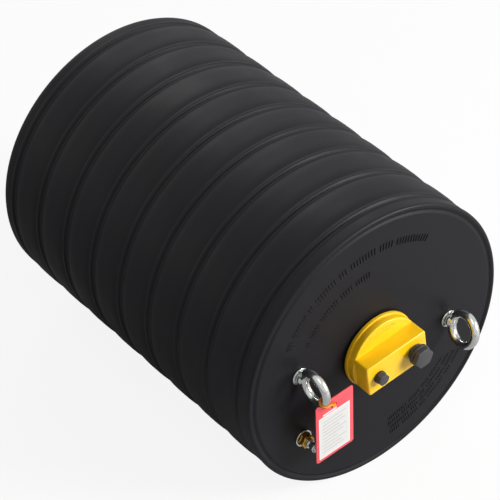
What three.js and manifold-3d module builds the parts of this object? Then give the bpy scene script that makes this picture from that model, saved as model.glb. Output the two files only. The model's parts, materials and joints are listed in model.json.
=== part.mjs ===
// An inflatable pipe plug: a ribbed rubber bladder that is pushed into a pipe and blown up to close it.
// It lies on its side. The plug's axis runs along Y, its front face looks towards -Y and +Z is up.
// The origin is on the floor, below the middle of the overall box. Sizes are in millimetres.
import * as THREE from "three";
import { mergeVertices } from "three/addons/utils/BufferGeometryUtils.js";
import Module from "manifold-3d";

const wasm = await Module();
wasm.setup();

const DEGREE = Math.PI / 180;
const FIT = 0.3; // gap between two pieces that touch or screw together
const MIDDLE = { x: 0, z: 0 };

// Sides of round pieces
const BODY_SIDES = 60;
const WIDE_SIDES = 56;
const HUB_SIDES = 40;
const ROUND_SIDES = 28;
const SMALL_SIDES = 24;
const WIRE_SIDES = 10;
const HEXAGON_SIDES = 6;

// Bladder
const BODY_RADIUS = 175;
const BODY_LENGTH = 462;
const WALL = 12;
const END_WALL = 20;
const INNER_ROUND = 14;
const GROOVES = 9;
const GROOVE_PITCH = 52.3;
const GROOVE_WIDTH = 4;
const GROOVE_DEPTH = 2.4;
const BAND_CROWN = 1.8;
const BAND_SHOULDER = 9; // over which a band falls off to its groove
const FRONT_EDGE = 3.5;
const REAR_EDGE = 9;
const REAR_EDGE_STEP = 3;
const RIM_GROOVE_INSET = 8;
const RIM_GROOVE_WIDTH = 5;
const RIM_GROOVE_DEPTH = 1.2;
const FLAT_DEPTH = 1.5; // how far the rubber flattens where it bears on the floor

// Head and rear hub
const HEAD_TURN = 9 * DEGREE;
const GASKET_RADIUS = 43;
const GASKET_THICKNESS = 2;
const FLANGE_RADIUS = 46;
const FLANGE_THICKNESS = 4.5;
const RIM_NECK_RADIUS = 43.5;
const RIM_NECK_WIDTH = 1.6;
const DISC_RADIUS = 45;
const DISC_THICKNESS = 7.5;
const BAR_LENGTH = 83;
const BAR_WIDTH = 40;
const BAR_HEIGHT = 20;
const BAR_CORNER = 3;
const BAR_BEVEL = 1.5;
const BOSS_BASE_RADIUS = 18;
const BOSS_TOP_RADIUS = 15.5;
const BOSS_HEIGHT = 5;
const BOSS_FOOT = 1.7;
const NECK_RADIUS = 24;
const SPIGOT_RADIUS = 13;
const SPIGOT_LENGTH = 36;
const BYPASS_RADIUS = 9.5;
const CHAMBER_DEPTH = 12;
const CHAMBER_WIDTH = 17;
const PORT_FACE_RADIUS = 28;
const PORT_FACE_HEIGHT = 7;
const PORT_RADIUS = 15.5;
const PORT_DEPTH = 22;
const CLAMP_WASHER_RADIUS = 41;
const CLAMP_WASHER_THICKNESS = 3;
const CLAMP_NUT_FLATS = 66;
const CLAMP_NUT_HEIGHT = 14;
const NECK_SPARE = 3;

// Plugs of the two front ports
const LARGE_PLUG_OFFSET = 25;
const LARGE_PORT_RADIUS = 10.2;
const LARGE_PLUG_FLATS = 22;
const LARGE_PLUG_HEX = 6.5;
const LARGE_PLUG_COLLAR = 2;
const SMALL_PLUG_OFFSET = 26;
const SMALL_PORT_RADIUS = 4.8;
const SMALL_PLUG_FLATS = 13;
const SMALL_PLUG_HEX = 5.5;
const SMALL_PLUG_COLLAR = 1;
const PLUG_SHANK = 11;
const SEAL_THICKNESS = 1.5;

// Inner bypass hose
const HOSE_WALL = 4;
const HOSE_CLAMP_BAND = 1;
const HOSE_CLAMP_WIDTH = 9;
const HOSE_CLAMP_FROM_END = 8;
const SCREW_HOUSING = { length: 12, width: 8, height: 7 };
const CLAMP_SCREW_RADIUS = 3;
const CLAMP_SCREW_LENGTH = 24;

// Eye bolts
const EYE_INSET = 68;
const EYE_LINE_TURN = -8.4 * DEGREE;
const EYE_TWISTS = { left: 5 * DEGREE, right: -12 * DEGREE };
const RING_RADIUS = 18;
const RING_WIRE = 10;
const COLLAR_RADIUS = 7.5;
const COLLAR_TOP_RADIUS = 6;
const COLLAR_HEIGHT = 6;
const COLLAR_BEVEL = 2;
const SHANK_RADIUS = 5;
const SHANK_LENGTH = 24;
const EYE_WASHER_RADIUS = 10.5;
const EYE_WASHER_THICKNESS = 2;
const INSERT_RADIUS = 9;
const INSERT_FLANGE_RADIUS = 22;
const INSERT_FLANGE_THICKNESS = 4;

// Inflation valve
const VALVE_INSET = 49.1;
const VALVE_LINE_TURN = -142.3 * DEGREE;
const VALVE_WASHER_RADIUS = 10.5;
const VALVE_WASHER_THICKNESS = 1.5;
const VALVE_FLATS = 15;
const VALVE_HEX = 7.5;
const VALVE_SHANK_RADIUS = 5;
const VALVE_BORE_RADIUS = 2.7;
const VALVE_NUT_FLATS = 16;
const VALVE_NUT_HEIGHT = 6;
const NIPPLE_BORE_RADIUS = 1.6;
const NIPPLE_SPIGOT = 6;
const NIPPLE_BASE_RADIUS = 5.5;
const NIPPLE_BASE = 3.5;
const NIPPLE_NECK_RADIUS = 4;
const NIPPLE_NECK = 3;
const NIPPLE_HEAD_RADIUS = 5.2;
const NIPPLE_HEAD = 6;
const NIPPLE_TIP_RADIUS = 3.6;
const NIPPLE_TIP = 4;

// Tag and cable tie
const TAG_WIDTH = 54;
const TAG_HEIGHT = 83;
const TAG_THICKNESS = 1;
const TAG_CORNER = 3;
const TAG_HOLE_RADIUS = 3.2;
const TAG_HOLE_FROM_TOP = 11.5;
const TAG_RIGHT_OF_EYE = 24.3;
const TAG_BELOW_EYE = 33.8;
const TAG_BEFORE_EYE = 3.4;
const TAG_TURN = 2.6 * DEGREE;
const TAG_YAW = 3.6 * DEGREE;
const TIE_THICKNESS = 1.3;
const TIE_WIDTH = 2;
const TIE_ON_RING = 30 * DEGREE;
const TIE_RUN = 0.6; // room between the tie and the wire that it goes round
const TIE_HEAD = [4.4, 4.4, 3.6];
const TIE_STEPS = 44;

// The tie's middle line: points beside the tag as [right, outwards, up] from the middle of its hole,
// and degrees round the wire of the eye
const TIE_JOIN = [-9.5, 9.2, 11];
const TIE_THROUGH_HOLE = [
  [-0.6, 2.2, 3.1],
  [0, 0, 1.4],
  [-0.6, -2.2, 3.1],
  [-7, -3.5, 12],
];
const TIE_ROUND_WIRE = [150, 180, 225, 270, 315, 0, 40];

// Heights above the front face, outwards
const FLANGE_BASE = FIT + GASKET_THICKNESS + FIT;
const RIM_NECK_BASE = FLANGE_BASE + FLANGE_THICKNESS;
const DISC_BASE = RIM_NECK_BASE + RIM_NECK_WIDTH;
const DISC_TOP = DISC_BASE + DISC_THICKNESS;
const BAR_TOP = DISC_TOP + BAR_HEIGHT;
const BOSS_TOP = BAR_TOP + BOSS_HEIGHT;
const CHAMBER_TOP = DISC_TOP + CHAMBER_DEPTH / 2;
const CHAMBER_BASE = CHAMBER_TOP - CHAMBER_DEPTH;
const LARGE_PLUG_BASE = BOSS_TOP + FIT + SEAL_THICKNESS + FIT;
const FRONT_REACH = LARGE_PLUG_BASE + LARGE_PLUG_COLLAR + LARGE_PLUG_HEX;
const EYE_BASE = FIT + EYE_WASHER_THICKNESS + FIT;
const RING_CENTRE = EYE_BASE + RING_RADIUS + RING_WIRE / 2;
const VALVE_BASE = FIT + VALVE_WASHER_THICKNESS + FIT;

// Depths behind the front face, inwards
const CLAMP_WASHER_BASE = END_WALL + FIT;
const CLAMP_NUT_BASE = CLAMP_WASHER_BASE + CLAMP_WASHER_THICKNESS + FIT;
const NECK_DEPTH = CLAMP_NUT_BASE + CLAMP_NUT_HEIGHT + NECK_SPARE;
const SPIGOT_DEPTH = NECK_DEPTH + SPIGOT_LENGTH;
const PORT_FACE_TOP = RIM_NECK_BASE + PORT_FACE_HEIGHT;

// The whole plug in the frame of the part
const FRONT_FACE_Y = FRONT_REACH - (FRONT_REACH + BODY_LENGTH + PORT_FACE_TOP) / 2;
const AXIS_HEIGHT = BODY_RADIUS - FLAT_DEPTH;

const FINISHES = {
  rubber: { color: 0x232427, roughness: 0.62, metalness: 0 },
  sealRubber: { color: 0x1b1b1d, roughness: 0.75, metalness: 0 },
  yellow: { color: 0xf6c915, roughness: 0.38, metalness: 0 },
  blackPlastic: { color: 0x38383a, roughness: 0.5, metalness: 0 },
  zinc: { color: 0xc9ccc8, roughness: 0.28, metalness: 1 },
  brass: { color: 0xb8862b, roughness: 0.3, metalness: 1 },
  redPlastic: { color: 0xe5505a, roughness: 0.45, metalness: 0 },
  orangePlastic: { color: 0xf08a24, roughness: 0.5, metalness: 0 },
};

// A closed geometry as a solid that can be cut and joined.
function solid(geometry) {
  const bare = geometry.clone();
  bare.deleteAttribute("normal");
  bare.deleteAttribute("uv");
  const merged = mergeVertices(bare, 1e-4);
  const triVerts = new Uint32Array(merged.index.array);
  const vertProperties = new Float32Array(merged.attributes.position.array);
  return new wasm.Manifold(new wasm.Mesh({ numProp: 3, vertProperties, triVerts }));
}

function joined(solids) {
  return solids.reduce((whole, next) => whole.add(next));
}

function cut(body, holes) {
  return holes.reduce((rest, hole) => rest.subtract(hole), body);
}

// A named mesh of one finish from a solid.
function piece(name, body, finish) {
  const { vertProperties, triVerts } = body.getMesh();
  const geometry = new THREE.BufferGeometry();
  geometry.setAttribute("position", new THREE.BufferAttribute(vertProperties, 3));
  geometry.setIndex(new THREE.BufferAttribute(triVerts, 1));
  geometry.computeVertexNormals();
  const mesh = new THREE.Mesh(geometry, new THREE.MeshStandardMaterial(finish));
  mesh.name = name;
  return mesh;
}

// A turned solid from [radius, height] pairs. Heights run outwards from the front face, along -Y.
function turned(profile, sides = ROUND_SIDES, place = MIDDLE) {
  const points = profile.map(([radius, height]) => new THREE.Vector2(radius, -height));
  const onAxis = points[0].x === 0 && points.at(-1).x === 0;
  const outline = onAxis ? points : [...points, points[0]];
  if (THREE.ShapeUtils.isClockWise(points)) outline.reverse();
  const geometry = new THREE.LatheGeometry(outline, sides);
  geometry.translate(place.x, 0, place.z);
  return solid(geometry);
}

// A ring or tube with a square section, between two heights.
function ring(inner, outer, low, high, sides = ROUND_SIDES, place = MIDDLE) {
  const profile = [
    [inner, low],
    [outer, low],
    [outer, high],
    [inner, high],
  ];
  return turned(profile, sides, place);
}

// A round bar between two heights.
function rod(radius, low, high, sides = ROUND_SIDES, place = MIDDLE) {
  const profile = [
    [0, low],
    [radius, low],
    [radius, high],
    [0, high],
  ];
  return turned(profile, sides, place);
}

// A flat outline in X and Z, raised between two heights.
function raised(outline, low, high, place = MIDDLE, bevel = 0) {
  const geometry = new THREE.ExtrudeGeometry(outline, {
    depth: high - low - 2 * bevel,
    bevelEnabled: bevel > 0,
    bevelSize: bevel,
    bevelThickness: bevel,
    bevelOffset: -bevel,
    bevelSegments: 2,
    curveSegments: 5,
  });
  geometry.translate(0, 0, low + bevel);
  geometry.rotateX(Math.PI / 2);
  geometry.translate(place.x, 0, place.z);
  return solid(geometry);
}

function acrossCorners(flats) {
  return flats / Math.cos(Math.PI / HEXAGON_SIDES);
}

function hexagon(flats) {
  const corner = acrossCorners(flats) / 2;
  const points = [0, 1, 2, 3, 4, 5].map((step) => {
    const angle = (step * 2 * Math.PI) / HEXAGON_SIDES;
    return new THREE.Vector2(corner * Math.cos(angle), corner * Math.sin(angle));
  });
  return new THREE.Shape(points);
}

function rectangle(width, height) {
  const corners = [
    [-1, -1],
    [1, -1],
    [1, 1],
    [-1, 1],
  ];
  return new THREE.Shape(corners.map(([x, y]) => new THREE.Vector2((x * width) / 2, (y * height) / 2)));
}

function roundedRectangle(width, height, corner) {
  const right = width / 2;
  const top = height / 2;
  const shape = new THREE.Shape();
  shape.moveTo(corner - right, -top);
  shape.absarc(right - corner, corner - top, corner, -Math.PI / 2, 0);
  shape.absarc(right - corner, top - corner, corner, 0, Math.PI / 2);
  shape.absarc(corner - right, top - corner, corner, Math.PI / 2, Math.PI);
  shape.absarc(corner - right, corner - top, corner, Math.PI, 1.5 * Math.PI);
  return shape;
}

// A place on the front face, on a circle round the axis.
function onCircle(radius, turn) {
  return { x: radius * Math.cos(turn), z: radius * Math.sin(turn) };
}

function eyePlace(side) {
  return onCircle(BODY_RADIUS - EYE_INSET, side === "right" ? EYE_LINE_TURN : EYE_LINE_TURN + Math.PI);
}

function valvePlace() {
  return onCircle(BODY_RADIUS - VALVE_INSET, VALVE_LINE_TURN);
}

// The middle of the tag's hole, right of the left eye, before it and below it.
function tagPlace() {
  const eye = eyePlace("left");
  return new THREE.Vector3(eye.x + TAG_RIGHT_OF_EYE, -RING_CENTRE - TAG_BEFORE_EYE, eye.z - TAG_BELOW_EYE);
}

// The bands and grooves along the outside of the bladder, from front to rear, as [radius, height] pairs.
function ribbedSide() {
  const firstGroove = (BODY_LENGTH - (GROOVES - 1) * GROOVE_PITCH) / 2;
  const shoulder = BODY_RADIUS - BAND_CROWN;
  const points = [];
  for (let groove = 0; groove < GROOVES; groove += 1) {
    const middle = firstGroove + groove * GROOVE_PITCH;
    points.push([shoulder, -(middle - GROOVE_WIDTH / 2)]);
    points.push([shoulder - GROOVE_DEPTH, -middle]);
    points.push([shoulder, -(middle + GROOVE_WIDTH / 2)]);
    if (groove < GROOVES - 1) {
      points.push([BODY_RADIUS, -(middle + BAND_SHOULDER)]);
      points.push([BODY_RADIUS, -(middle + GROOVE_PITCH - BAND_SHOULDER)]);
    }
  }
  return points;
}

function bladder() {
  const bore = NECK_RADIUS + FIT;
  const rimGroove = BODY_RADIUS - RIM_GROOVE_INSET;
  const inside = BODY_RADIUS - WALL;
  const rearInside = END_WALL - BODY_LENGTH;
  const profile = [
    [bore, 0],
    [rimGroove - RIM_GROOVE_WIDTH / 2, 0],
    [rimGroove, -RIM_GROOVE_DEPTH],
    [rimGroove + RIM_GROOVE_WIDTH / 2, 0],
    [BODY_RADIUS - FRONT_EDGE, 0],
    [BODY_RADIUS, -FRONT_EDGE],
    ...ribbedSide(),
    [BODY_RADIUS, REAR_EDGE - BODY_LENGTH],
    [BODY_RADIUS - REAR_EDGE_STEP, REAR_EDGE_STEP - BODY_LENGTH],
    [BODY_RADIUS - REAR_EDGE, -BODY_LENGTH],
    [bore, -BODY_LENGTH],
    [bore, rearInside],
    [inside - INNER_ROUND, rearInside],
    [inside, rearInside + INNER_ROUND],
    [inside, -END_WALL - INNER_ROUND],
    [inside - INNER_ROUND, -END_WALL],
    [bore, -END_WALL],
  ];
  const shell = turned(profile, BODY_SIDES);
  const floor = new THREE.BoxGeometry(2 * BODY_RADIUS, 2 * BODY_LENGTH + FIT, 2 * BODY_RADIUS);
  floor.translate(0, 0, -AXIS_HEIGHT - BODY_RADIUS);
  const through = [FIT, -END_WALL - FIT];
  const holes = [
    solid(floor),
    rod(INSERT_RADIUS + FIT, ...through, SMALL_SIDES, eyePlace("left")),
    rod(INSERT_RADIUS + FIT, ...through, SMALL_SIDES, eyePlace("right")),
    rod(VALVE_SHANK_RADIUS + FIT, ...through, SMALL_SIDES, valvePlace()),
  ];
  return piece("bladder", cut(shell, holes), FINISHES.rubber);
}

// The part of the head and of the rear hub that goes through the end wall and into the hose.
function neckAndSpigot() {
  return [
    rod(NECK_RADIUS, FLANGE_BASE + FIT, -NECK_DEPTH, HUB_SIDES),
    rod(SPIGOT_RADIUS, 0, -SPIGOT_DEPTH),
  ];
}

function flangeAndRim(top) {
  return [
    rod(FLANGE_RADIUS, FLANGE_BASE, RIM_NECK_BASE, WIDE_SIDES),
    rod(RIM_NECK_RADIUS, FLANGE_BASE, top, WIDE_SIDES),
  ];
}

function headBody() {
  const largePort = { x: LARGE_PLUG_OFFSET, z: 0 };
  const smallPort = { x: -SMALL_PLUG_OFFSET, z: 0 };
  const bar = roundedRectangle(BAR_LENGTH, BAR_WIDTH, BAR_CORNER);
  const boss = [
    [0, BAR_TOP - BAR_BEVEL],
    [BOSS_BASE_RADIUS, BAR_TOP - BAR_BEVEL],
    [BOSS_BASE_RADIUS, BAR_TOP + BOSS_FOOT],
    [BOSS_TOP_RADIUS, BOSS_TOP],
    [0, BOSS_TOP],
  ];
  const body = joined([
    ...neckAndSpigot(),
    ...flangeAndRim(DISC_TOP - FIT),
    rod(DISC_RADIUS, DISC_BASE, DISC_TOP, WIDE_SIDES),
    raised(bar, FLANGE_BASE + FIT, BAR_TOP, MIDDLE, BAR_BEVEL),
    turned(boss, HUB_SIDES, largePort),
  ]);
  const chamberLength = 2 * (SMALL_PLUG_OFFSET + SMALL_PORT_RADIUS);
  const chamber = roundedRectangle(chamberLength, CHAMBER_WIDTH, SMALL_PORT_RADIUS);
  const holes = [
    rod(BYPASS_RADIUS, CHAMBER_TOP - FIT, -SPIGOT_DEPTH - FIT, SMALL_SIDES),
    raised(chamber, CHAMBER_BASE, CHAMBER_TOP),
    rod(LARGE_PORT_RADIUS, CHAMBER_BASE + FIT, BOSS_TOP + FIT, SMALL_SIDES, largePort),
    rod(SMALL_PORT_RADIUS, CHAMBER_BASE + FIT, BAR_TOP + FIT, SMALL_SIDES, smallPort),
  ];
  return piece("head_body", cut(body, holes), FINISHES.yellow);
}

// A hexagon plug screwed into a front port, and the seal under its collar.
function portPlug(name, size) {
  const sealBase = size.seat + FIT;
  const base = sealBase + SEAL_THICKNESS + FIT;
  const collar = acrossCorners(size.flats) / 2;
  const hex = base + size.collar;
  const body = joined([
    rod(size.port - FIT, base + FIT, size.seat - PLUG_SHANK, SMALL_SIDES, size.place),
    rod(collar, base, hex + FIT, ROUND_SIDES, size.place),
    raised(hexagon(size.flats), hex, hex + size.hex, size.place),
  ]);
  const seal = ring(size.port, collar, sealBase, sealBase + SEAL_THICKNESS, ROUND_SIDES, size.place);
  return [piece(name, body, FINISHES.blackPlastic), piece(name + "_seal", seal, FINISHES.sealRubber)];
}

function portPlugs() {
  const large = {
    place: { x: LARGE_PLUG_OFFSET, z: 0 },
    seat: BOSS_TOP,
    port: LARGE_PORT_RADIUS,
    flats: LARGE_PLUG_FLATS,
    hex: LARGE_PLUG_HEX,
    collar: LARGE_PLUG_COLLAR,
  };
  const small = {
    place: { x: -SMALL_PLUG_OFFSET, z: 0 },
    seat: BAR_TOP,
    port: SMALL_PORT_RADIUS,
    flats: SMALL_PLUG_FLATS,
    hex: SMALL_PLUG_HEX,
    collar: SMALL_PLUG_COLLAR,
  };
  return [...portPlug("large_port_plug", large), ...portPlug("small_port_plug", small)];
}

// The gasket outside an end wall, and the washer and the nut inside it.
function clampSet(end) {
  const bore = NECK_RADIUS + FIT;
  const gasket = ring(bore, GASKET_RADIUS, FIT, FIT + GASKET_THICKNESS, HUB_SIDES);
  const washerTop = -CLAMP_WASHER_BASE - CLAMP_WASHER_THICKNESS;
  const washer = ring(bore, CLAMP_WASHER_RADIUS, washerTop, -CLAMP_WASHER_BASE);
  const nutDepths = [-CLAMP_NUT_BASE - CLAMP_NUT_HEIGHT, -CLAMP_NUT_BASE];
  const nutBore = rod(bore, nutDepths[0] - FIT, nutDepths[1] + FIT, HUB_SIDES);
  const nut = raised(hexagon(CLAMP_NUT_FLATS), ...nutDepths).subtract(nutBore);
  return [
    piece(end + "_gasket", gasket, FINISHES.sealRubber),
    piece(end + "_clamp_washer", washer, FINISHES.zinc),
    piece(end + "_clamp_nut", nut, FINISHES.yellow),
  ];
}

// The hub that closes the rear wall. Its port stays open, as the bypass outlet.
function rearHub() {
  const body = joined([
    ...neckAndSpigot(),
    ...flangeAndRim(RIM_NECK_BASE),
    rod(PORT_FACE_RADIUS, FLANGE_BASE, PORT_FACE_TOP, HUB_SIDES),
  ]);
  const holes = [
    rod(BYPASS_RADIUS, 0, -SPIGOT_DEPTH - FIT, SMALL_SIDES),
    rod(PORT_RADIUS, PORT_FACE_TOP - PORT_DEPTH, PORT_FACE_TOP + FIT),
  ];
  return piece("rear_hub", cut(body, holes), FINISHES.yellow);
}

// A worm-drive clamp round the hose, with its screw housing and screw on top.
function hoseClamp(name, middle) {
  const inner = SPIGOT_RADIUS + FIT + HOSE_WALL + FIT;
  const outer = inner + HOSE_CLAMP_BAND;
  const { length, width, height } = SCREW_HOUSING;
  const housing = new THREE.BoxGeometry(length, width, height);
  housing.translate(0, middle, outer + height / 2 - HOSE_CLAMP_BAND / 2);
  const screwSize = [CLAMP_SCREW_RADIUS, CLAMP_SCREW_RADIUS, CLAMP_SCREW_LENGTH, HEXAGON_SIDES];
  const screw = new THREE.CylinderGeometry(...screwSize);
  screw.rotateZ(Math.PI / 2);
  screw.translate(length / 2, middle, outer + height / 2);
  const low = -middle - HOSE_CLAMP_WIDTH / 2;
  const band = ring(inner, outer, low, low + HOSE_CLAMP_WIDTH);
  return piece(name, joined([band, solid(housing), solid(screw)]), FINISHES.zinc);
}

function bypassHose() {
  const start = NECK_DEPTH + FIT;
  const end = BODY_LENGTH - NECK_DEPTH - FIT;
  const inner = SPIGOT_RADIUS + FIT;
  const clampFromEnd = HOSE_CLAMP_FROM_END + HOSE_CLAMP_WIDTH / 2;
  const tube = ring(inner, inner + HOSE_WALL, -end, -start);
  return [
    piece("bypass_hose", tube, FINISHES.sealRubber),
    hoseClamp("front_hose_clamp", start + clampFromEnd),
    hoseClamp("rear_hose_clamp", end - clampFromEnd),
  ];
}

// The eye of the bolt stands on its collar, in a plane that holds the bolt's axis.
function eyeBolt() {
  const eye = new THREE.TorusGeometry(RING_RADIUS, RING_WIRE / 2, WIRE_SIDES, ROUND_SIDES);
  eye.rotateY(Math.PI / 2);
  eye.translate(0, -RING_CENTRE, 0);
  const collarTop = EYE_BASE + COLLAR_HEIGHT;
  const stem = [
    [0, EYE_WASHER_THICKNESS - SHANK_LENGTH],
    [SHANK_RADIUS, EYE_WASHER_THICKNESS - SHANK_LENGTH],
    [SHANK_RADIUS, EYE_BASE],
    [COLLAR_RADIUS, EYE_BASE],
    [COLLAR_RADIUS, collarTop - COLLAR_BEVEL],
    [COLLAR_TOP_RADIUS, collarTop],
    [0, collarTop],
  ];
  return solid(eye).add(turned(stem, SMALL_SIDES));
}

// A threaded bush moulded into the front wall, with a wide flange behind it.
function eyeInsert() {
  const flangeTop = -END_WALL - FIT;
  const flangeBase = flangeTop - INSERT_FLANGE_THICKNESS;
  const bore = SHANK_RADIUS + FIT;
  const profile = [
    [bore, flangeBase],
    [INSERT_FLANGE_RADIUS, flangeBase],
    [INSERT_FLANGE_RADIUS, flangeTop],
    [INSERT_RADIUS, flangeTop],
    [INSERT_RADIUS, 0],
    [bore, 0],
  ];
  return turned(profile);
}

function eyeSet(side) {
  const place = eyePlace(side);
  const washer = ring(SHANK_RADIUS + FIT, EYE_WASHER_RADIUS, FIT, FIT + EYE_WASHER_THICKNESS);
  const set = new THREE.Group();
  set.add(
    piece(side + "_eye_bolt", eyeBolt(), FINISHES.zinc),
    piece(side + "_eye_washer", washer, FINISHES.zinc),
    piece(side + "_eye_insert", eyeInsert(), FINISHES.zinc),
  );
  set.position.set(place.x, 0, place.z);
  set.rotation.y = -EYE_TWISTS[side];
  return set;
}

function valveBody() {
  const hexTop = VALVE_BASE + VALVE_HEX;
  const shankEnd = -END_WALL - VALVE_WASHER_THICKNESS - VALVE_NUT_HEIGHT - NECK_SPARE;
  const body = joined([
    raised(hexagon(VALVE_FLATS), VALVE_BASE, hexTop),
    rod(VALVE_SHANK_RADIUS, shankEnd, VALVE_BASE + FIT, SMALL_SIDES),
  ]);
  const bore = rod(VALVE_BORE_RADIUS + FIT, shankEnd - FIT, hexTop + FIT, SMALL_SIDES);
  return piece("valve_body", body.subtract(bore), FINISHES.brass);
}

function valveNipple() {
  const base = VALVE_BASE + VALVE_HEX + FIT;
  const neck = base + NIPPLE_BASE;
  const head = neck + NIPPLE_NECK;
  const tip = head + NIPPLE_HEAD;
  const profile = [
    [NIPPLE_BORE_RADIUS, base - NIPPLE_SPIGOT],
    [VALVE_BORE_RADIUS, base - NIPPLE_SPIGOT],
    [VALVE_BORE_RADIUS, base],
    [NIPPLE_BASE_RADIUS, base],
    [NIPPLE_BASE_RADIUS, neck],
    [NIPPLE_NECK_RADIUS, neck],
    [NIPPLE_NECK_RADIUS, head],
    [NIPPLE_HEAD_RADIUS, head],
    [NIPPLE_HEAD_RADIUS, tip],
    [NIPPLE_TIP_RADIUS, tip],
    [NIPPLE_TIP_RADIUS, tip + NIPPLE_TIP],
    [NIPPLE_BORE_RADIUS, tip + NIPPLE_TIP],
  ];
  return piece("valve_nipple", turned(profile, SMALL_SIDES), FINISHES.zinc);
}

function valveSet() {
  const bore = VALVE_SHANK_RADIUS + FIT;
  const outerTop = FIT + VALVE_WASHER_THICKNESS;
  const innerTop = -END_WALL - FIT;
  const innerBase = innerTop - VALVE_WASHER_THICKNESS;
  const nutTop = innerBase - FIT;
  const nutBase = nutTop - VALVE_NUT_HEIGHT;
  const nutBore = rod(bore, nutBase - FIT, nutTop + FIT, SMALL_SIDES);
  const nut = raised(hexagon(VALVE_NUT_FLATS), nutBase, nutTop).subtract(nutBore);
  const set = new THREE.Group();
  set.add(
    valveBody(),
    valveNipple(),
    piece("valve_washer", ring(bore, VALVE_WASHER_RADIUS, FIT, outerTop), FINISHES.sealRubber),
    piece("valve_inner_washer", ring(bore, VALVE_WASHER_RADIUS, innerBase, innerTop), FINISHES.zinc),
    piece("valve_locknut", nut, FINISHES.brass),
  );
  const place = valvePlace();
  set.position.set(place.x, 0, place.z);
  return set;
}

function tag() {
  const outline = roundedRectangle(TAG_WIDTH, TAG_HEIGHT, TAG_CORNER);
  const hole = new THREE.Path();
  hole.absarc(0, TAG_HEIGHT / 2 - TAG_HOLE_FROM_TOP, TAG_HOLE_RADIUS, 0, 2 * Math.PI);
  outline.holes.push(hole);
  const plate = raised(outline, -TAG_THICKNESS / 2, TAG_THICKNESS / 2, {
    x: 0,
    z: TAG_HOLE_FROM_TOP - TAG_HEIGHT / 2,
  });
  const mesh = piece("tag", plate, FINISHES.redPlastic);
  mesh.position.copy(tagPlace());
  mesh.rotation.set(0, -TAG_TURN, TAG_YAW, "ZXY");
  return mesh;
}

// The tie's middle line: round the wire of the left eye, behind the tag, through its hole and back.
function tieRoute() {
  const eye = eyePlace("left");
  const outwards = new THREE.Vector3(0, -Math.cos(TIE_ON_RING), -Math.sin(TIE_ON_RING));
  outwards.applyAxisAngle(new THREE.Vector3(0, 1, 0), -EYE_TWISTS.left);
  const sideways = new THREE.Vector3(Math.cos(EYE_TWISTS.left), 0, Math.sin(EYE_TWISTS.left));
  const wire = new THREE.Vector3(eye.x, -RING_CENTRE, eye.z).addScaledVector(outwards, RING_RADIUS);
  const loop = RING_WIRE / 2 + TIE_RUN + TIE_WIDTH / 2;
  const round = (degrees) =>
    wire
      .clone()
      .addScaledVector(outwards, loop * Math.cos(degrees * DEGREE))
      .addScaledVector(sideways, loop * Math.sin(degrees * DEGREE));
  const besideTag = ([right, outward, up]) => tagPlace().add(new THREE.Vector3(right, -outward, up));
  const join = besideTag(TIE_JOIN);
  return [join, ...TIE_THROUGH_HOLE.map(besideTag), ...TIE_ROUND_WIRE.map(round), join.clone()];
}

function cableTie() {
  const route = new THREE.CatmullRomCurve3(tieRoute(), false, "centripetal");
  const strap = new THREE.ExtrudeGeometry(rectangle(TIE_THICKNESS, TIE_WIDTH), {
    steps: TIE_STEPS,
    extrudePath: route,
  });
  const head = new THREE.BoxGeometry(...TIE_HEAD);
  const join = route.getPoint(0);
  head.translate(join.x, join.y, join.z);
  return piece("cable_tie", solid(strap).add(solid(head)), FINISHES.orangePlastic);
}

function head() {
  const group = new THREE.Group();
  group.add(headBody(), ...portPlugs(), ...clampSet("front"));
  group.rotation.y = -HEAD_TURN;
  return group;
}

function rearEnd() {
  const group = new THREE.Group();
  group.add(rearHub(), ...clampSet("rear"));
  group.position.y = BODY_LENGTH;
  group.rotation.z = Math.PI;
  return group;
}

const plug = new THREE.Group();
plug.add(bladder(), head(), rearEnd(), ...bypassHose());
plug.add(eyeSet("left"), eyeSet("right"), valveSet(), tag(), cableTie());
plug.position.set(0, FRONT_FACE_Y, AXIS_HEIGHT);

const part = new THREE.Group();
part.add(plug);

export default part;
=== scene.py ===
# %% [markdown]
# # An inflatable pipe plug, lying on its side
#
# A ribbed rubber bladder is pushed into a pipe and blown up to close it. Its front face carries a
# yellow bypass head with two screw plugs, two lifting eyes, an inflation valve and a hang tag.
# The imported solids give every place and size. Blender gives each piece its smooth shape and its finish.

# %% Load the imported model
import json
from math import cos, pi, radians, sin, tau

import bmesh
import bpy
from mathutils import Euler, Matrix, Vector


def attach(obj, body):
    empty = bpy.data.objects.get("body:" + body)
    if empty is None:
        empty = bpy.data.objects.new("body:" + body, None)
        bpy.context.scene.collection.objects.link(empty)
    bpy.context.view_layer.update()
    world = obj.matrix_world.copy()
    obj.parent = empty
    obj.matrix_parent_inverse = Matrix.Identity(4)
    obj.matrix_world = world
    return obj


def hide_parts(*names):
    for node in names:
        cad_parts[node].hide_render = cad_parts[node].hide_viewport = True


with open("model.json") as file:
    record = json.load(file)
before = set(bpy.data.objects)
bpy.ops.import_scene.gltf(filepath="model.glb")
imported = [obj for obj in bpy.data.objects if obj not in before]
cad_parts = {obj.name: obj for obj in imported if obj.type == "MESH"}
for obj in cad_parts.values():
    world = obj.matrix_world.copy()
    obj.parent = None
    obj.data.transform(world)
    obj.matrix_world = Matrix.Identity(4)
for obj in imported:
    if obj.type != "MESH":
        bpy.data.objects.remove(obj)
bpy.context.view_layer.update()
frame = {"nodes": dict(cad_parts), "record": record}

# %% [markdown]
# ## Places and sizes
#
# A maker of such a plug measures from its front face: so far to the right, so far out and so far up
# from the axis. The same is done here, in millimetres, and one function turns it into metres in the
# frame of the part. Pieces behind the front face have a negative height.

# %% Sizes in millimetres
MM = 0.001
FACE_Y = -212.15
AXIS_Z = 173.5
BODY_LENGTH = 462
BODY_RADIUS = 175
FIT = 0.3
HEAD_TURN = radians(9)


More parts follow.
